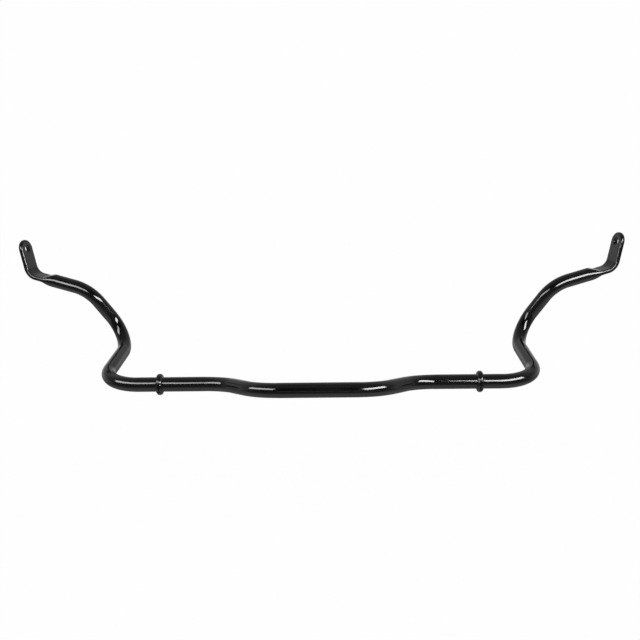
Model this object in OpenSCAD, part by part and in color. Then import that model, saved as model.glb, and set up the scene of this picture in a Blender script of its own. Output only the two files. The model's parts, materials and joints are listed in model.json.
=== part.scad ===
// Anti-roll bar (sway bar) of a car: one round spring-steel bar bent to shape, with its ends
// forged into flat eyes, and two stop rings crimped on beside the bushing seats.
// X runs across the car, +Y runs back towards the eyes and +Z is up. The origin lies on the
// ground under the middle of the bar's footprint. The bar is described as it is bent: by the
// corner points of its centre line and the radius of each bend, for the right half.

/* [Bar] */
// Diameter of the round bar
bar_d = 24; // [20:0.5:26]
// Distance from the bushing axis forward to the centre section
centre_front = 78; // [50:1:100]
// Height of the centre section above the bushing axis
centre_rise = 24; // [0:1:40]
// Half length of the centre section, to the corner of its jog
centre_half = 94; // [60:1:100]
// Half distance between the jogs' outer corners, where the straight bushing seats begin
jog_half = 158; // [150:1:180]
// Half distance between the corners where the arms turn back
corner_half = 362; // [350:1:400]

/* [Arm] */
// Corner of the low bend, measured across, back and up from the middle of the bushing axis
low_corner = [351, 208, -5.5]; // [-50:0.5:600]
// Corner of the knee above the low bend
knee_corner = [415, 192, 98]; // [0:0.5:600]
// Corner of the bend between the flattened arm and the eye
eye_corner = [525, 228, 117]; // [0:0.5:600]
// Centre of the bolt hole in the eye
eye_centre = [534.5, 236.5, 163.5]; // [0:0.5:600]

/* [Bend radii] */
// Bends of the jogs beside the centre section
jog_bend = 66; // [35:1:80]
// Bend from the bushing seat into the arm
corner_bend = 60; // [45:1:70]
// Low bend of the arm
low_bend = 50; // [40:1:55]
// Knee above the low bend
knee_bend = 55; // [40:1:60]
// Bend of the flattened end, at its middle layer
eye_bend = 22; // [16:1:26]

/* [Eye] */
// Width of the flattened end
eye_width = 33; // [28:0.5:40]
// Thickness of the flattened end
eye_thick = 8; // [7:0.5:12]
// Radius on the long edges of the flattened end
edge_round = 3; // [1:0.25:3.5]
// Diameter of the bolt hole for the link
hole_d = 13; // [10.5:0.1:14.5]
// Length over which the round bar becomes flat
flatten_length = 34; // [25:1:40]
// Fully flat length before the eye's bend
flat_lead = 8; // [5:1:20]

/* [Stop ring] */
// Outside diameter of a stop ring
ring_d = 35; // [32:0.5:40]
// Width of a stop ring where it grips the bar
ring_base = 11; // [8:0.5:16]
// Width of a stop ring at its crown
ring_crown = 5.5; // [4:0.5:8]
// Distance of each stop ring from the middle of the bar
ring_half = 262; // [240:1:280]
// Depth of the shallow groove around the crown
groove_depth = 0.8; // [0.2:0.1:1.5]
// Width of the crimped seam's gap
seam_gap = 0.5; // [0.3:0.1:1]

/* [Frame] */
// Distance from the bushing axis back to the middle of the bar's footprint
axis_to_middle = 81.5; // [60:0.5:100]

/* [Hidden] */
$fn = 72;

bar_r = bar_d / 2;
ring_r = ring_d / 2;
ring_lip = 1.2;
groove_width = 2.4;
seam_step = 16;
cut_margin = 1;
loft_sides = 48;
loft_steps = 10;

// Bending draws the steel slightly thin, so bends and lofts sit this far inside the legs' skin,
// and they run this far into the legs
drawn_thin = 0.15;
bite = 0.3;

// Corner points of the centre line from the middle of the bar to the eye, and the bend at each
path = [
    [0, -centre_front, centre_rise],
    [centre_half, -centre_front, centre_rise],
    [jog_half, 0, 0],
    [corner_half, 0, 0],
    low_corner,
    knee_corner,
    eye_corner,
    eye_centre
];
bends = [0, jog_bend, jog_bend, corner_bend, low_bend, knee_bend, eye_bend, 0];
flat_leg = 5;
eye_leg = 6;

// Leg i runs from corner i to corner i + 1, and bend i lies at corner i
function unit(v) = v / norm(v);
function heading(i) = unit(path[i + 1] - path[i]);
function turn(i) = acos(heading(i - 1) * heading(i));
function setback(i) = bends[i] == 0 ? 0 : bends[i] * tan(turn(i) / 2);
function leg_length(i) = norm(path[i + 1] - path[i]) - setback(i) - setback(i + 1);
function bend_axis(i) = unit(cross(heading(i - 1), heading(i)));
function inward(i) = cross(bend_axis(i), heading(i - 1));
function inward_after(i) = cross(bend_axis(i), heading(i));
// Roll about leg i - 1 from the plane of the bend before it to the plane of bend i
function roll(i) = i == 1 ? 0 : atan2(
    cross(inward_after(i - 1), inward(i)) * heading(i - 1),
    inward_after(i - 1) * inward(i)
);
function smooth(t) = t * t * (3 - 2 * t);

// The bar is built from piece to piece: each starts where the last one ends, with +Z along the
// centre line and +X towards the middle of the bend
module after(distance) {
    translate([0, 0, distance])
        children();
}

module after_bend(i) {
    translate([bends[i], 0, 0])
        rotate([0, turn(i), 0])
            translate([-bends[i], 0, 0])
                children();
}

// Sweeps a section, drawn with X inward and Y along the bend's axis, around bend i. The sweep
// runs a little way into the legs on both sides.
module sweep_bend(i) {
    bite_angle = bite / bends[i] * 180 / PI;
    translate([bends[i], 0, 0])
        rotate([90, 0, 180])
            rotate_extrude(angle = turn(i) + 2 * bite_angle, start = -bite_angle)
                translate([bends[i], 0])
                    children();
}

// Section with its thickness along X and its width along Y, less an inset all round
module flat_section(inset = 0) {
    square([eye_thick - 2 * inset, eye_width - 2 * edge_round], center = true);
    square([eye_thick - 2 * edge_round, eye_width - 2 * inset], center = true);
    for (x = [-1, 1])
        for (y = [-1, 1])
            translate([x * (eye_thick / 2 - edge_round), y * (eye_width / 2 - edge_round)])
                circle(r = edge_round - inset);
}

// Half of the same section, laid out for turning the eye's round end
module half_section() {
    square_w = eye_width / 2 - edge_round;
    translate([0, -eye_thick / 2])
        square([square_w, eye_thick]);
    translate([0, -eye_thick / 2 + edge_round])
        square([eye_width / 2, eye_thick - 2 * edge_round]);
    for (y = [-1, 1])
        translate([square_w, y * (eye_thick / 2 - edge_round)])
            circle(r = edge_round);
}

// Section of the loft at share t: four equal arcs that move apart as their radius shrinks
function loft_round(t) = bar_r - drawn_thin + (edge_round - bar_r) * smooth(t);
function loft_across(t) = (eye_width / 2 - edge_round) * smooth(t);
function loft_through(t) = (eye_thick / 2 - edge_round) * smooth(t);
function loft_point(t, a, z) = [
    sign(cos(a)) * loft_through(t) + loft_round(t) * cos(a),
    sign(sin(a)) * loft_across(t) + loft_round(t) * sin(a),
    z
];

module flattening() {
    shares = [for (step = [0:loft_steps]) step / loft_steps];
    heights = flatten_length * shares;
    points = [
        for (step = [0:loft_steps])
            for (k = [0:loft_sides - 1])
                loft_point(
                    shares[step],
                    360 * (k + 0.5) / loft_sides,
                    heights[step] + (step == 0 ? -bite : step == loft_steps ? bite : 0)
                )
    ];
    sides = [
        for (step = [0:loft_steps - 1])
            for (k = [0:loft_sides - 1])
                let (
                    next = (k + 1) % loft_sides,
                    low = step * loft_sides,
                    high = low + loft_sides
                )
                [low + k, high + k, high + next, low + next]
    ];
    start_cap = [for (k = [0:loft_sides - 1]) k];
    end_cap = [for (k = [loft_sides - 1:-1:0]) loft_steps * loft_sides + k];
    polyhedron(points = points, faces = concat(sides, [start_cap, end_cap]), convexity = 4);
}

// Round end of the eye about its bolt hole, and the straight part up to it
module eye_plate() {
    reach = leg_length(eye_leg);
    difference() {
        union() {
            linear_extrude(height = reach)
                flat_section();
            after(reach)
                rotate([0, 90, 0])
                    rotate_extrude(angle = 180, start = 90)
                        half_section();
        }
        after(reach)
            rotate([0, 90, 0])
                cylinder(d = hole_d, h = eye_thick + 2 * cut_margin, center = true);
    }
}

// Flattened end of the bar: the flattening, a flat lead, the bend and the eye
module flat_end() {
    flattening();
    after(flatten_length) {
        linear_extrude(height = flat_lead)
            flat_section();
        after(flat_lead) {
            sweep_bend(eye_leg)
                flat_section(drawn_thin);
            after_bend(eye_leg)
                eye_plate();
        }
    }
}

// Round bar from leg i onwards
module bar_from(i) {
    if (i < flat_leg) {
        cylinder(r = bar_r, h = leg_length(i));
        after(leg_length(i))
            rotate([0, 0, roll(i + 1)]) {
                sweep_bend(i + 1)
                    circle(r = bar_r - drawn_thin);
                after_bend(i + 1)
                    bar_from(i + 1);
            }
    } else {
        round_length = leg_length(i) - flat_lead - flatten_length;
        cylinder(r = bar_r, h = round_length);
        after(round_length)
            rotate([0, 0, roll(i + 1)])
                flat_end();
    }
}

// Half of the bar, which starts at mid-span with its first bend in the local XZ plane
module bar_half() {
    side = bend_axis(1);
    ahead = heading(0);
    in = inward(1);
    multmatrix([
        [in[0], side[0], ahead[0], path[0][0]],
        [in[1], side[1], ahead[1], path[0][1]],
        [in[2], side[2], ahead[2], path[0][2]]
    ])
        bar_from(0);
}

// Ring section turned about the bar, with a shallow groove around the crown
module ring_body() {
    rotate([0, 90, 0])
        rotate_extrude()
            polygon([
                [bar_r, -ring_base / 2],
                [bar_r + ring_lip, -ring_base / 2],
                [ring_r, -ring_crown / 2],
                [ring_r, -groove_width / 2],
                [ring_r - groove_depth, 0],
                [ring_r, groove_width / 2],
                [ring_r, ring_crown / 2],
                [bar_r + ring_lip, ring_base / 2],
                [bar_r, ring_base / 2]
            ]);
}

// Stepped seam at the front, where the two ends of the ring are crimped together
module ring_seam() {
    cut_x = ring_base / 2 + cut_margin;
    cut_r = ring_r + cut_margin;
    for (side = [-1, 1])
        rotate([side * seam_step / 2, 0, 0])
            translate([side < 0 ? -cut_x : -seam_gap / 2, -cut_r, -seam_gap / 2])
                cube([cut_x + seam_gap / 2, ring_r, seam_gap]);
    rotate([0, 90, 0])
        rotate_extrude(angle = seam_step, start = -90 - seam_step / 2)
            translate([bar_r - cut_margin, -seam_gap / 2])
                square([ring_r - bar_r + 2 * cut_margin, seam_gap]);
}

module stop_ring() {
    translate([ring_half, 0, 0])
        difference() {
            ring_body();
            ring_seam();
        }
}

// Lifts the bushing axis to the height of a ring that rests on the ground
module on_ground() {
    translate([0, -axis_to_middle, ring_r])
        children();
}

module bar_right_half() {
    color([0.05, 0.05, 0.055])
        on_ground()
            bar_half();
}

module bar_left_half() {
    color([0.05, 0.05, 0.055])
        mirror([1, 0, 0])
            on_ground()
                bar_half();
}

module stop_ring_right() {
    color([0.09, 0.09, 0.095])
        on_ground()
            stop_ring();
}

module stop_ring_left() {
    color([0.09, 0.09, 0.095])
        mirror([1, 0, 0])
            on_ground()
                stop_ring();
}

bar_left_half();
bar_right_half();
stop_ring_left();
stop_ring_right();
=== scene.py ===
"""Sway bar: one gloss-black spring-steel bar with flattened, drilled eyes and two crimped stop rings."""

import json
import math

import bpy
import numpy as np
from mathutils import Matrix, Quaternion, Vector


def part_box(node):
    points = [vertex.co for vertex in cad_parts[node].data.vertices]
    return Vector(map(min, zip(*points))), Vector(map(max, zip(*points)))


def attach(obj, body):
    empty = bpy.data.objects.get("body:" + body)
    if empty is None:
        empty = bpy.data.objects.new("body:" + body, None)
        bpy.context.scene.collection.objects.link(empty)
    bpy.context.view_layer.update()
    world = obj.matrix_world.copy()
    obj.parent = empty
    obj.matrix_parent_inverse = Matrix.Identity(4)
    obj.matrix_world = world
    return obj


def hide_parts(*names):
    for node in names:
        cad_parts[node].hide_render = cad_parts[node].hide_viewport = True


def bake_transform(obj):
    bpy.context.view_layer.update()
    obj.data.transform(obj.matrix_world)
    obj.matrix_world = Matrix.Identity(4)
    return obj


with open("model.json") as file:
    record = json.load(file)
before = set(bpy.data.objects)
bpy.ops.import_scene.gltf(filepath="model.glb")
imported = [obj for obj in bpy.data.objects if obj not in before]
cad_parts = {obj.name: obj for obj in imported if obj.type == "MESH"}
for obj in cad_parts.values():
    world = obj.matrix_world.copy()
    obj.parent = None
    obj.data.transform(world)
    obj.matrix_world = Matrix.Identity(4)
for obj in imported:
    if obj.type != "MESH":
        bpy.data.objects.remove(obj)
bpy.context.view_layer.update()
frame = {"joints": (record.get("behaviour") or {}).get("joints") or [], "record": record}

MM = 0.001


def mount(name):
    return next(m for m in frame["record"]["mounts"] if m["name"] == name)


def smooth(t):
    t = np.clip(t, 0.0, 1.0)
    return t * t * (3 - 2 * t)


def unit(v):
    return v / np.linalg.norm(v)


# ---------------------------------------------------------------- what the CAD says

AXIS = np.array(frame["joints"][0]["pos_m"])
HOLE = mount("link_hole_right")
EYE = np.array(HOLE["pos_m"])
EYE_FACE = np.array(HOLE["axis"])
HOLE_R = HOLE["dims"]["r_mm"] * MM
EYE_THICK = HOLE["dims"]["length_mm"] * MM
BAR_R = mount("bushing_seat_right")["dims"]["r_mm"] * MM

# Corner points of the centre line, from the middle of the bushing axis, and the bend at each
CORNERS = np.array([
    [0.0, -78.0, 24.0],
    [94.0, -78.0, 24.0],
    [158.0, 0.0, 0.0],
    [362.0, 0.0, 0.0],
    [351.0, 208.0, -5.5],
    [415.0, 192.0, 98.0],
    [525.0, 228.0, 117.0],
]) * MM
BENDS = np.array([0.0, 66.0, 66.0, 60.0, 50.0, 55.0, 22.0]) * MM
DRAWN_THIN = 0.15 * MM
EYE_WIDTH = 33 * MM
EDGE_ROUND = 3 * MM
FLATTEN_LENGTH = 34 * MM
FLAT_LEAD = 8 * MM

# ---------------------------------------------------------------- centre line

LEG_STEP = 4.0 * MM
BEND_STEP = 2.0 * MM
FINE_STEP = 1.25 * MM
BEND_LEAST_STEPS = 8
BEND_EASE = 5 * MM  # a drawn bend thins down over this length at each end


def rotate(v, axis, angle):
    c, s = math.cos(angle), math.sin(angle)
    return v * c + np.cross(axis, v) * s + axis * (axis @ v) * (1 - c)


def centre_line():
    """Stations from mid-span to the hole: place, heading, the two section axes, distance run, bend share."""
    points = np.vstack([CORNERS + AXIS, EYE])
    place = points[0]
    head = unit(points[1] - points[0])
    thick = np.array([0.0, 0.0, 1.0])
    stations, run = [(place, head, thick, 0.0, 0.0)], 0.0
    for i in range(1, len(points)):
        last = i == len(points) - 1
        if last:
            back = 0.0
        else:
            after = unit(points[i + 1] - points[i])
            turn = math.acos(head @ after)
            back = BENDS[i] * math.tan(turn / 2)
        length = (points[i] - place) @ head - back
        step = FINE_STEP if i >= len(points) - 2 else LEG_STEP
        n = max(1, round(length / step))
        for k in range(1, n + 1):
            stations.append((place + head * length * k / n, head, thick, run + length * k / n, 0.0))
        place, run = place + head * length, run + length
        if last:
            break
        axis = unit(np.cross(head, after))
        pivot = place + np.cross(axis, head) * BENDS[i]
        arc = turn * BENDS[i]
        step = FINE_STEP if i == len(points) - 2 else BEND_STEP
        n = max(BEND_LEAST_STEPS, round(arc / step))
        for k in range(1, n + 1):
            a = turn * k / n
            inside = min(1.0, min(k, n - k) / n * arc / BEND_EASE)
            stations.append((
                pivot + rotate(place - pivot, axis, a), rotate(head, axis, a),
                rotate(thick, axis, a), run + arc * k / n, inside,
            ))
        place, head, thick = stations[-1][0], after, stations[-1][2]
        run += arc
    # The roll that lines the thickness up with the eye's face is the same all along
    want = unit(-EYE_FACE - head * (-EYE_FACE @ head))
    have = unit(thick - head * (thick @ head))
    roll = math.atan2(np.cross(have, want) @ head, have @ want)
    out = []
    for p, h, t, s, b in stations:
        t = rotate(unit(t - h * (t @ h)), h, roll)
        out.append((p, h, t, np.cross(h, t), s, b))
    return out


# ---------------------------------------------------------------- sections

RING = 64
QUARTER = RING // 4
CORNER_STEPS = 6


def rounded_section():
    """Section of the flattened end, thickness then width: face, edge, face, edge, 16 steps each."""
    half_t, half_w, r = EYE_THICK / 2, EYE_WIDTH / 2, EDGE_ROUND
    flat_w, flat_t = half_w - r, half_t - r
    straight = QUARTER - 2 * CORNER_STEPS
    face = [(half_t, -flat_w + 2 * flat_w * k / QUARTER) for k in range(QUARTER)]
    edge = [(flat_t + r * math.cos(a), flat_w + r * math.sin(a))
            for a in (math.pi / 2 * k / CORNER_STEPS for k in range(CORNER_STEPS))]
    edge += [(flat_t - 2 * flat_t * k / straight, half_w) for k in range(straight)]
    edge += [(-flat_t - r * math.sin(a), flat_w + r * math.cos(a))
             for a in (math.pi / 2 * k / CORNER_STEPS for k in range(CORNER_STEPS))]
    half = np.array(face + edge)
    return np.vstack([half, -half])


def round_section(radius):
    a = (np.arange(RING) - QUARTER / 2) * 2 * math.pi / RING
    return np.stack([radius * np.cos(a), radius * np.sin(a)], 1)


FLAT_SECTION = rounded_section()
DIE_START = BAR_R + 1.6 * MM
DIE_SOFT = 0.35 * MM
SQUARE_FROM = 0.5  # share of the flattening at which the sides start to square off
WIDEN_EARLY = 1.35  # the bar widens this much faster than the dies close


def section_at(t, radius):
    """Section at share t of the flattening: the round bar pressed between two dies, then squared off."""
    round_part = round_section(radius)
    if t <= 0:
        return round_part
    die = DIE_START + (EYE_THICK / 2 - DIE_START) * smooth(t)
    wide = 1 + (EYE_WIDTH / 2 / BAR_R - 1) * smooth(t * WIDEN_EARLY)
    p = np.abs(round_part[:, 0])
    pressed = -DIE_SOFT * np.log(np.exp(-p / DIE_SOFT) + np.exp(-die / DIE_SOFT))
    pressed = np.stack([np.sign(round_part[:, 0]) * np.maximum(pressed, 0), round_part[:, 1] * wide], 1)
    share = smooth((t - SQUARE_FROM) / (1 - SQUARE_FROM))
    return pressed * (1 - share) + FLAT_SECTION * share


# ---------------------------------------------------------------- the bar

PATCH_BELOW = 20 * MM
SIDE_COLUMNS = 5
TURN_COLUMNS = 32
FACE_LOOPS = 5
HOLE_CHAMFER = 0.35 * MM
# Radius and depth of the loops that round the hole's rim and line its wall
HOLE_LOOPS = (
    (HOLE_R + 0.25 * HOLE_CHAMFER, EYE_THICK / 2 - 0.25 * HOLE_CHAMFER),
    (HOLE_R, EYE_THICK / 2 - HOLE_CHAMFER),
    (HOLE_R, EYE_THICK / 6),
)
EDGE_GAIN = 1.5  # the hammer marks are at full strength after 1 / EDGE_GAIN of the flattening
LOOP_EVEN = 0.5  # how far the face loops move from the outline's own angles to even ones


class Shell:
    """Vertices with their share of forged edge, and the quads between them."""

    def __init__(self):
        self.verts, self.edge, self.quads = [], [], []

    def add(self, place, edge=0.0):
        self.verts.append(place)
        self.edge.append(edge)
        return len(self.verts) - 1


class EyeFrame:
    """The eye's axes at the middle of the hole: along the bar, across the face, through the thickness."""

    def __init__(self, along, through, across):
        self.along, self.through, self.across = along, through, across

    def at(self, u, v, d):
        return EYE + self.along * u + self.across * v + self.through * d

    def flat(self, place):
        return [(place - EYE) @ self.along, (place - EYE) @ self.across]


def add_tube(shell, stations, flat_from):
    """The bar up to the eye's patch; returns the index of the last ring's first vertex."""
    for place, head, thick, wide, run, bend in stations:
        share = (run - flat_from) / FLATTEN_LENGTH
        section = section_at(share, BAR_R - DRAWN_THIN * smooth(bend) * (share <= 0))
        for k, (t, w) in enumerate(section):
            on_edge = QUARTER < k < 2 * QUARTER or k > 3 * QUARTER
            shell.add(place + t * thick + w * wide, smooth(share * EDGE_GAIN) * on_edge)
    for i in range(len(stations) - 1):
        for k in range(RING):
            a, c = i * RING + k, i * RING + (k + 1) % RING
            shell.quads.append((a, c, c + RING, a + RING))
    return (len(stations) - 1) * RING


def add_rim(shell, eye, last):
    """The strip around the eye's end, from one side of the last ring to the other; returns its columns."""
    profile = FLAT_SECTION[QUARTER:2 * QUARTER + 1]
    places = [("side", 1, -PATCH_BELOW * (1 - k / SIDE_COLUMNS)) for k in range(1, SIDE_COLUMNS)]
    places += [("turn", k * math.pi / TURN_COLUMNS, 0.0) for k in range(TURN_COLUMNS + 1)]
    places += [("side", -1, -PATCH_BELOW * (k + 1) / SIDE_COLUMNS) for k in range(SIDE_COLUMNS - 1)]
    columns = [[last + QUARTER + k for k in range(QUARTER + 1)]]
    for kind, value, u in places:
        column = []
        for k, (depth, out) in enumerate(profile):
            if kind == "side":
                at = eye.at(u, value * out, depth)
            else:
                at = eye.at(out * math.sin(value), out * math.cos(value), depth)
            column.append(shell.add(at, 1.0 if 0 < k < QUARTER else 0.0))
        columns.append(column)
    columns.append([last + (-k) % RING for k in range(QUARTER + 1)])
    for one, two in zip(columns, columns[1:]):
        for k in range(QUARTER):
            shell.quads.append((one[k], one[k + 1], two[k + 1], two[k]))
    return columns


def add_face(shell, eye, side, outline):
    """One flat of the eye, from its outline in to the hole and half-way down it; returns the last loop."""
    flat = np.array([eye.flat(shell.verts[v]) for v in outline])
    angle = np.unwrap(np.arctan2(flat[:, 1], flat[:, 0]))
    count = len(outline)
    even = angle[0] + np.arange(count) * np.sign(angle[-1] - angle[0]) * 2 * math.pi / count
    goal = (1 - LOOP_EVEN) * angle + LOOP_EVEN * even
    around = np.stack([np.cos(goal), np.sin(goal)], 1)
    loops = [outline]
    for step in range(1, FACE_LOOPS + 1):
        share = step / FACE_LOOPS
        places = flat * (1 - share) + (HOLE_R + HOLE_CHAMFER) * around * share
        loops.append([shell.add(eye.at(u, v, side * EYE_THICK / 2)) for u, v in places])
    for radius, depth in HOLE_LOOPS:
        loops.append([shell.add(eye.at(radius * u, radius * v, side * depth)) for u, v in around])
    for outer, inner in zip(loops, loops[1:]):
        for n in range(count):
            m = (n + 1) % count
            quad = (outer[n], outer[m], inner[m], inner[n])
            shell.quads.append(quad if side > 0 else quad[::-1])
    return loops[-1]


def half_bar():
    """Vertices, quads and edge share of the right half, whose first ring lies at mid-span."""
    stations = centre_line()
    place, head, thick, wide, total, _ = stations[-1]
    last_leg = EYE - AXIS - CORNERS[-1]
    last_turn = math.acos(unit(CORNERS[-1] - CORNERS[-2]) @ unit(last_leg))
    straight = np.linalg.norm(last_leg) - BENDS[-1] * math.tan(last_turn / 2)
    flat_from = total - straight - BENDS[-1] * last_turn - FLAT_LEAD - FLATTEN_LENGTH
    rings = [s for s in stations if s[4] <= total - PATCH_BELOW - 0.5 * FINE_STEP]
    rings.append((place - head * PATCH_BELOW, head, thick, wide, total - PATCH_BELOW, 0.0))
    shell = Shell()
    eye = EyeFrame(head, thick, wide)
    last = add_tube(shell, rings, flat_from)
    columns = add_rim(shell, eye, last)
    holes = []
    for side, row, bottom in ((1, 0, [last + k for k in range(QUARTER)]),
                              (-1, QUARTER, [last + 3 * QUARTER - k for k in range(QUARTER)])):
        holes.append(add_face(shell, eye, side, bottom + [column[row] for column in columns[:-1]]))
    count = len(holes[0])
    for n in range(count):
        m = (n + 1) % count
        shell.quads.append((holes[0][n], holes[0][m], holes[1][m], holes[1][n]))
    return np.array(shell.verts), shell.quads, np.array(shell.edge)


def make_mesh(name, verts, faces):
    mesh = bpy.data.meshes.new(name)
    mesh.from_pydata([tuple(v) for v in verts], [], [tuple(f) for f in faces])
    mesh.validate()
    mesh.update()
    mesh.polygons.foreach_set("use_smooth", [True] * len(mesh.polygons))
    piece = bpy.data.objects.new(name, mesh)
    bpy.context.scene.collection.objects.link(piece)
    return piece


def add_attribute(piece, name, values, kind="FLOAT"):
    layer = piece.data.attributes.new(name, kind, "POINT")
    layer.data.foreach_set("value" if kind == "FLOAT" else "vector", np.asarray(values, np.float32).ravel())


def build_bar():
    verts, quads, edge = half_bar()
    count = len(verts)
    mirrored = verts[RING:] * [-1, 1, 1]
    verts[:RING, 0] = 0.0
    faces = quads + [tuple(v if v < RING else v + count - RING for v in q[::-1]) for q in quads]
    everything = np.vstack([verts, mirrored])
    piece = make_mesh("sway_bar", everything, faces)
    add_attribute(piece, "rest_place", everything, "FLOAT_VECTOR")
    add_attribute(piece, "forged_edge", np.concatenate([edge, edge[RING:]]))
    return piece


bar = build_bar()

# ---------------------------------------------------------------- stop rings

# All in mm. A ring's section runs from foot to foot over a flank, a shoulder and the grooved crown on each side
RING_BASE = 11.0
RING_LIP = 1.2
RING_SHOULDER = 4.3
SHOULDER_DROP = 1.7
RING_CROWN = 5.0
CROWN_DROP = 0.3
CROWN_RAISE = 0.2
GROOVE_WIDTH = 2.4
GROOVE_DEPTH = 0.3
FOOT_SINK = 0.1
FOOT_FLARE = 0.9
RING_BORE = 11.8  # just inside the bar's skin
PROFILE_POINTS = 401
PROFILE_SOFT = 13
# The butt seam steps sideways at the front: half of it lies above the middle and half below
SEAM_STEP = 8.0
SEAM_GAP = 1.2
SEAM_ROUND = 1.4
SEAM_ROLL = 0.8
SEAM_LINES = (0.0, 0.3, 0.7)  # extra mesh lines beside the seam's edges
SEAM_CLEAR_ROWS = 1.4
SEAM_CLEAR_COLUMNS = 1.6
FLANK_ROWS = 19
FRONT_COLUMNS = 9
ROUND_COLUMNS = 150
SHARP_ANGLE = math.radians(40)


def ring_profile(outer):
    """Rounded section of the ring, offset along the bar then radius, from one foot to the other."""
    bar_r = BAR_R / MM
    half = np.array([
        [GROOVE_WIDTH / 2, outer + CROWN_RAISE], [RING_CROWN / 2, outer - CROWN_DROP],
        [RING_SHOULDER, outer - SHOULDER_DROP], [RING_BASE / 2, bar_r + RING_LIP],
        [RING_BASE / 2, bar_r + FOOT_SINK], [RING_BASE / 2 + FOOT_FLARE, bar_r - FOOT_SINK],
    ])
    corners = np.vstack([half[::-1] * [-1, 1], [[0.0, outer + CROWN_RAISE - GROOVE_DEPTH]], half])
    run = np.concatenate([[0], np.cumsum(np.linalg.norm(np.diff(corners, axis=0), axis=1))])
    fine = np.linspace(0, run[-1], PROFILE_POINTS)
    line = np.stack([np.interp(fine, run, corners[:, 0]), np.interp(fine, run, corners[:, 1])], 1)
    ends = np.repeat(line[:1], PROFILE_SOFT, 0), np.repeat(line[-1:], PROFILE_SOFT, 0)
    padded = np.vstack([ends[0], line, ends[1]])
    kernel = np.hanning(2 * PROFILE_SOFT + 1)
    kernel /= kernel.sum()
    return np.stack([np.convolve(padded[:, c], kernel, "valid") for c in (0, 1)], 1)


def gap_distance(x, around):
    """Distance along the ring's skin from a point to the stepped seam; 0 inside it."""
    half, step, far = SEAM_GAP / 2, SEAM_STEP, RING_BASE
    spans = ((-far, half, step - half, step + half), (-half, far, -step - half, -step + half),
             (-half, half, -step - half, step + half))
    near = [math.hypot(max(a - x, 0, x - b), max(c - around, 0, around - d)) for a, b, c, d in spans]
    return min(near)


def build_ring(name, node, side):
    """A closed shell: skin, bore and the walls of the seam's gap; side -1 is the left ring, its mirror image."""
    low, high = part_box(node)
    middle = (low + high) / 2
    outer = (high.z - low.z) / 2 / MM
    per_turn = 2 * math.pi * outer
    profile = ring_profile(outer)
    profile = profile[np.argsort(profile[:, 0])]
    edges = [sign * (SEAM_GAP / 2 + line) for sign in (-1, 1) for line in SEAM_LINES]
    rows = sorted([
        0.0, *edges, *np.linspace(profile[0, 0], -SEAM_CLEAR_ROWS, FLANK_ROWS),
        *np.linspace(SEAM_CLEAR_ROWS, profile[-1, 0], FLANK_ROWS),
    ])
    radii = np.interp(rows, profile[:, 0], profile[:, 1])
    clear = SEAM_STEP - SEAM_CLEAR_COLUMNS, SEAM_STEP + SEAM_CLEAR_COLUMNS
    columns = sorted([
        *(sign * SEAM_STEP + edge for sign in (-1, 1) for edge in edges),
        *np.linspace(-clear[0], clear[0], FRONT_COLUMNS),
        *np.linspace(clear[1], per_turn - clear[1], ROUND_COLUMNS),
    ])
    n, m = len(rows), len(columns)

    def unwrap(along):
        return along if along < per_turn / 2 else along - per_turn

    verts = []
    for inside in (False, True):
        for x, radius in zip(rows, radii):
            for along in columns:
                closeness = max(0.0, 1 - gap_distance(x, unwrap(along)) / SEAM_ROUND)
                r = RING_BORE if inside else radius - SEAM_ROLL * closeness ** 2
                angle = along / outer
                verts.append((
                    middle.x + side * x * MM,
                    middle.y - r * math.cos(angle) * MM,
                    middle.z + r * math.sin(angle) * MM,
                ))

    def present(i, k):
        if not 0 <= i < n - 1:
            return False
        after = columns[(k + 1) % m] + (per_turn if k + 1 == m else 0)
        return gap_distance((rows[i] + rows[i + 1]) / 2, unwrap((columns[k] + after) / 2)) > 0

    faces, under = [], n * m
    for i in range(n - 1):
        for k in range(m):
            if not present(i, k):
                continue
            a, b = i * m + k, i * m + (k + 1) % m
            c, d = b + m, a + m
            faces += [(a, b, c, d), (d + under, c + under, b + under, a + under)]
            for there, e, f in ((present(i - 1, k), b, a), (present(i + 1, k), d, c),
                                (present(i, (k - 1) % m), a, d), (present(i, (k + 1) % m), c, b)):
                if not there:
                    faces.append((e, f, f + under, e + under))
    if side > 0:
        faces = [f[::-1] for f in faces]
    used = sorted({v for f in faces for v in f})
    new = {v: i for i, v in enumerate(used)}
    verts = [verts[v] for v in used]
    piece = make_mesh(name, verts, [tuple(new[v] for v in f) for f in faces])
    piece.data.set_sharp_from_angle(angle=SHARP_ANGLE)
    add_attribute(piece, "rest_place", verts, "FLOAT_VECTOR")
    add_attribute(piece, "forged_edge", [0.0] * len(verts))
    return piece


rings = {}
for side, body in ((-1, "left"), (1, "right")):
    rings[body] = build_ring(f"crimped_ring_{body}", f"stop_ring_{body}", side)

# ---------------------------------------------------------------- materials


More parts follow.
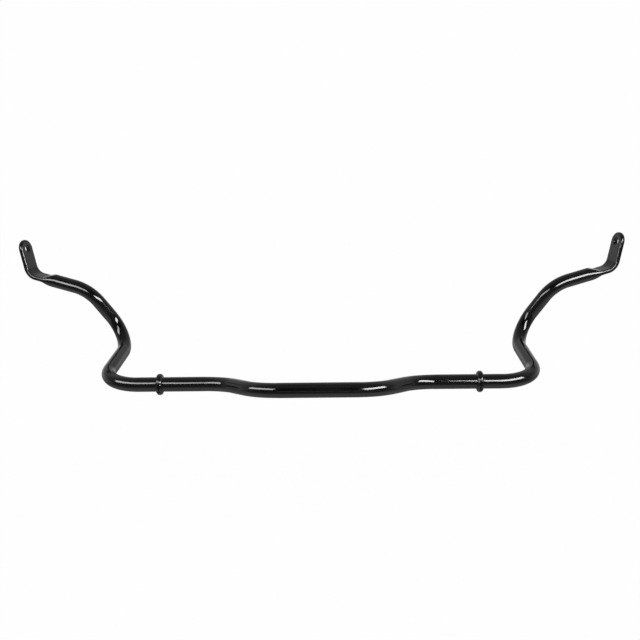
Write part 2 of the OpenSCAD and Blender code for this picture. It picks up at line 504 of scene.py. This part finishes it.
class Nodes:
    """Short hand for building a material's node tree."""

    def __init__(self, name):
        self.material = bpy.data.materials.new(name)
        self.material.use_nodes = True
        self.tree = self.material.node_tree
        self.shader = self.tree.nodes["Principled BSDF"]

    def add(self, kind, inputs=(), **settings):
        node = self.tree.nodes.new(kind)
        for key, value in settings.items():
            setattr(node, key, value)
        for key, value in dict(inputs).items():
            self.put(node.inputs[key], value)
        return node

    def put(self, socket, value):
        if isinstance(value, bpy.types.NodeSocket):
            self.tree.links.new(value, socket)
        else:
            socket.default_value = value

    def noise(self, place, scale, detail=2.0, rough=0.5):
        node = self.add("ShaderNodeTexNoise", {"Vector": place, "Scale": scale, "Detail": detail, "Roughness": rough})
        return node.outputs["Fac"]

    def math(self, operation, a, b=0.0):
        return self.add("ShaderNodeMath", {0: a, 1: b}, operation=operation).outputs[0]

    def ramp(self, value, low, high, start=0.0, end=1.0):
        node = self.add("ShaderNodeMapRange", {
            "Value": value, "From Min": low, "From Max": high, "To Min": start, "To Max": end,
        })
        return node.outputs["Result"]

    def bump(self, height, distance, under=None):
        inputs = {"Height": height, "Distance": distance, "Strength": 1.0}
        if under is not None:
            inputs["Normal"] = under
        return self.add("ShaderNodeBump", inputs).outputs["Normal"]


# Noise scales are per metre, heights in metres
RIPPLE_SCALE, RIPPLE_HEIGHT = 55.0, 0.0002
PEEL_SCALE, PEEL_HEIGHT = 600.0, 0.00001
MARKS_SCALE, MARKS_HEIGHT, MARKS_ROUGH = 260.0, 0.00005, 0.12
SPECK_SCALE, SPECK_HEIGHT, SPECK_ROUGH = 70.0, 0.00006, 0.3
SPECK_EDGE = (0.035, 0.06)
SPECK_PATCHES = 9.0
CLOUD_SCALE = 22.0
ROUGH_LEAST, ROUGH_MOST = 0.08, 0.15
BLACK_DEEP = (0.010, 0.010, 0.0105, 1)
BLACK_WORN = (0.016, 0.0155, 0.016, 1)


def gloss_paint(name):
    """Baked black paint over forged steel: soft ripple, fine orange peel, hammer marks on the edges, a few specks."""
    kit = Nodes(name)
    place = kit.add("ShaderNodeAttribute", attribute_name="rest_place").outputs["Vector"]
    forged = kit.add("ShaderNodeAttribute", attribute_name="forged_edge").outputs["Fac"]
    ripple = kit.noise(place, RIPPLE_SCALE, 1.0)
    peel = kit.noise(place, PEEL_SCALE, 2.0)
    cloud = kit.noise(place, CLOUD_SCALE, 3.0)
    marks = kit.ramp(kit.noise(place, MARKS_SCALE, 3.0, 0.6), 0.48, 0.62)
    marks = kit.math("MULTIPLY", marks, forged)
    cells = kit.add("ShaderNodeTexVoronoi", {"Vector": place, "Scale": SPECK_SCALE}, feature="F1")
    speck = kit.ramp(cells.outputs["Distance"], *SPECK_EDGE, 1.0, 0.0)
    rare = kit.ramp(kit.noise(place, SPECK_PATCHES, 1.0), 0.56, 0.60)
    speck = kit.math("MULTIPLY", speck, rare)
    normal = kit.bump(ripple, RIPPLE_HEIGHT)
    normal = kit.bump(peel, PEEL_HEIGHT, normal)
    normal = kit.bump(marks, MARKS_HEIGHT, normal)
    normal = kit.bump(speck, SPECK_HEIGHT, normal)
    kit.put(kit.shader.inputs["Normal"], normal)
    rough = kit.ramp(cloud, 0.3, 0.7, ROUGH_LEAST, ROUGH_MOST)
    rough = kit.math("ADD", rough, kit.math("MULTIPLY", marks, MARKS_ROUGH))
    rough = kit.math("ADD", rough, kit.math("MULTIPLY", speck, SPECK_ROUGH))
    kit.put(kit.shader.inputs["Roughness"], rough)
    tint = kit.add("ShaderNodeMix", data_type="RGBA")
    kit.put(tint.inputs[0], kit.ramp(cloud, 0.35, 0.65))
    kit.put(tint.inputs[6], BLACK_DEEP)
    kit.put(tint.inputs[7], BLACK_WORN)
    kit.put(kit.shader.inputs["Base Color"], tint.outputs[2])
    return kit.material


bar.data.materials.append(gloss_paint("bar_paint"))
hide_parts("bar_left_half", "bar_right_half")
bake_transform(bar)
ring_paint = gloss_paint("ring_paint")
for body, ring in rings.items():
    ring.data.materials.append(ring_paint)
    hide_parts(f"stop_ring_{body}")
    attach(ring, f"{body}_half")

# ---------------------------------------------------------------- floor, light, camera

FLOOR_HALF = 30.0
FLOOR_GLOW = 0.97
FLOOR_WHITE = 0.1  # the floor is lit mostly from within, so that no corner of it falls off
FLOOR_DROP = 0.09  # an arm that is twisted down stays above the floor

floor_mesh = bpy.data.meshes.new("floor")
square = [(-1, -1), (1, -1), (1, 1), (-1, 1)]
floor_mesh.from_pydata([(x * FLOOR_HALF, y * FLOOR_HALF, -FLOOR_DROP) for x, y in square], [], [(0, 1, 2, 3)])
floor = bpy.data.objects.new("floor", floor_mesh)
bpy.context.scene.collection.objects.link(floor)
floor_paint = Nodes("floor_white")
floor_paint.shader.inputs["Base Color"].default_value = (FLOOR_WHITE, FLOOR_WHITE, FLOOR_WHITE, 1)
floor_paint.shader.inputs["Roughness"].default_value = 1.0
floor_paint.shader.inputs["Specular IOR Level"].default_value = 0.0
floor_paint.shader.inputs["Emission Color"].default_value = (1, 1, 1, 1)
floor_paint.shader.inputs["Emission Strength"].default_value = FLOOR_GLOW
floor.data.materials.append(floor_paint.material)
floor.visible_glossy = False

# Studio walls as the paint reflects them: elevation in degrees and brightness, before and behind the bar
WALLS_FRONT = [
    (-90, 0.45), (-50, 0.72), (-35, 0.50), (-25, 0.20), (-15, 0.04), (-6, 0.10),
    (4, 0.06), (15, 0.03), (30, 0.0), (50, 0.0), (70, 0.22), (90, 0.22),
]
WALLS_BACK = [
    (-90, 0.30), (-50, 0.22), (-35, 0.16), (-25, 0.28), (-14, 0.45), (-8, 0.75), (4, 0.60),
    (12, 0.42), (20, 0.42), (30, 0.42), (42, 0.50), (55, 0.35), (70, 0.28), (90, 0.20),
]


def wall_ramp(tree, height, stops):
    node = tree.nodes.new("ShaderNodeValToRGB")
    ramp = node.color_ramp
    while len(ramp.elements) > 1:
        ramp.elements.remove(ramp.elements[0])
    for k, (elevation, value) in enumerate(stops):
        at = 0.5 + 0.5 * math.sin(math.radians(elevation))
        element = ramp.elements[0] if k == 0 else ramp.elements.new(at)
        element.position = at
        element.color = (value, value, value, 1)
    tree.links.new(height, node.inputs["Fac"])
    return node.outputs["Color"]


FRONT_ENDS, BACK_STARTS = -0.5, 0.7  # the two walls blend between these depths of the ray


def build_world():
    """White room to the eye, soft grey gradient to reflections."""
    world = bpy.data.worlds.new("studio")
    bpy.context.scene.world = world
    world.use_nodes = True
    tree = world.node_tree
    add, link = tree.nodes.new, tree.links.new
    ray = add("ShaderNodeTexCoord").outputs["Generated"]
    split = add("ShaderNodeSeparateXYZ")
    link(ray, split.inputs[0])
    height = add("ShaderNodeMapRange")
    height.inputs["From Min"].default_value = -1.0
    link(split.outputs["Z"], height.inputs["Value"])
    behind = add("ShaderNodeMapRange")
    behind.interpolation_type = "SMOOTHSTEP"
    behind.inputs["From Min"].default_value = FRONT_ENDS
    behind.inputs["From Max"].default_value = BACK_STARTS
    link(split.outputs["Y"], behind.inputs["Value"])
    front = wall_ramp(tree, height.outputs[0], WALLS_FRONT)
    back = wall_ramp(tree, height.outputs[0], WALLS_BACK)
    walls = add("ShaderNodeMix")
    walls.data_type = "RGBA"
    link(behind.outputs[0], walls.inputs[0])
    link(front, walls.inputs[6])
    link(back, walls.inputs[7])
    seen = add("ShaderNodeMix")
    seen.data_type = "RGBA"
    seen.inputs[7].default_value = (1, 1, 1, 1)
    link(add("ShaderNodeLightPath").outputs["Is Camera Ray"], seen.inputs[0])
    link(walls.outputs[2], seen.inputs[6])
    link(seen.outputs[2], tree.nodes["Background"].inputs["Color"])


build_world()

BOX_AIM = Vector((0, -0.03, 0.06))


def softbox(name, azimuth, elevation, distance, roll, width, heights, radiance):
    """Soft-edged light facing the bar, as nested rectangles; azimuth 0 is straight in front, positive to the right."""
    a, e = math.radians(azimuth), math.radians(elevation)
    away = Vector((math.sin(a) * math.cos(e), -math.cos(a) * math.cos(e), math.sin(e)))
    turn = away.to_track_quat("Z", "Y") @ Quaternion((0, 0, 1), math.radians(roll))
    for n, height in enumerate(heights):
        data = bpy.data.lights.new(f"{name}_{n}", "AREA")
        data.shape = "RECTANGLE"
        data.size, data.size_y = width, height
        data.energy = radiance / len(heights) * width * height * math.pi
        light = bpy.data.objects.new(f"{name}_{n}", data)
        light.location = BOX_AIM + away * distance
        light.rotation_mode = "QUATERNION"
        light.rotation_quaternion = turn
        light.visible_camera = False
        light.visible_diffuse = False
        bpy.context.scene.collection.objects.link(light)


softbox("softbox_left", -53, 31, 1.00, 19.0, 1.06, (0.08, 0.16, 0.30), 28.0)
softbox("softbox_right", 48, 28.0, 1.28, -1.0, 1.24, (0.08, 0.18, 0.40), 58.0)
softbox("card_middle", 0, 5, 1.2, 0.0, 0.50, (0.06,), 0.7)

# Camera: angles in degrees about the middle of the bushing axis, distances in metres
CAMERA_DISTANCE = 1.5952
CAMERA_PITCH = 21.27
CAMERA_YAW = -1.35
CAMERA_ROLL = -1.126
CAMERA_SIDE = 0.0012
CAMERA_LIFT = 0.1031
LENS = 54.73


def add_camera():
    yaw, pitch, roll = (math.radians(a) for a in (CAMERA_YAW, CAMERA_PITCH, CAMERA_ROLL))
    turn = Matrix.Rotation(roll, 3, "Y") @ Matrix.Rotation(pitch, 3, "X") @ Matrix.Rotation(yaw, 3, "Z")
    back = turn.transposed()
    data = bpy.data.cameras.new("camera")
    data.sensor_width = 36.0
    data.lens = LENS
    camera = bpy.data.objects.new("camera", data)
    bpy.context.scene.collection.objects.link(camera)
    place = Vector(AXIS) + back @ Vector((CAMERA_SIDE, -CAMERA_DISTANCE, CAMERA_LIFT))
    camera.matrix_world = Matrix.Translation(place) @ (back @ Matrix.Rotation(math.pi / 2, 3, "X")).to_4x4()
    bpy.context.scene.camera = camera


add_camera()
bpy.context.scene.view_settings.view_transform = "Standard"
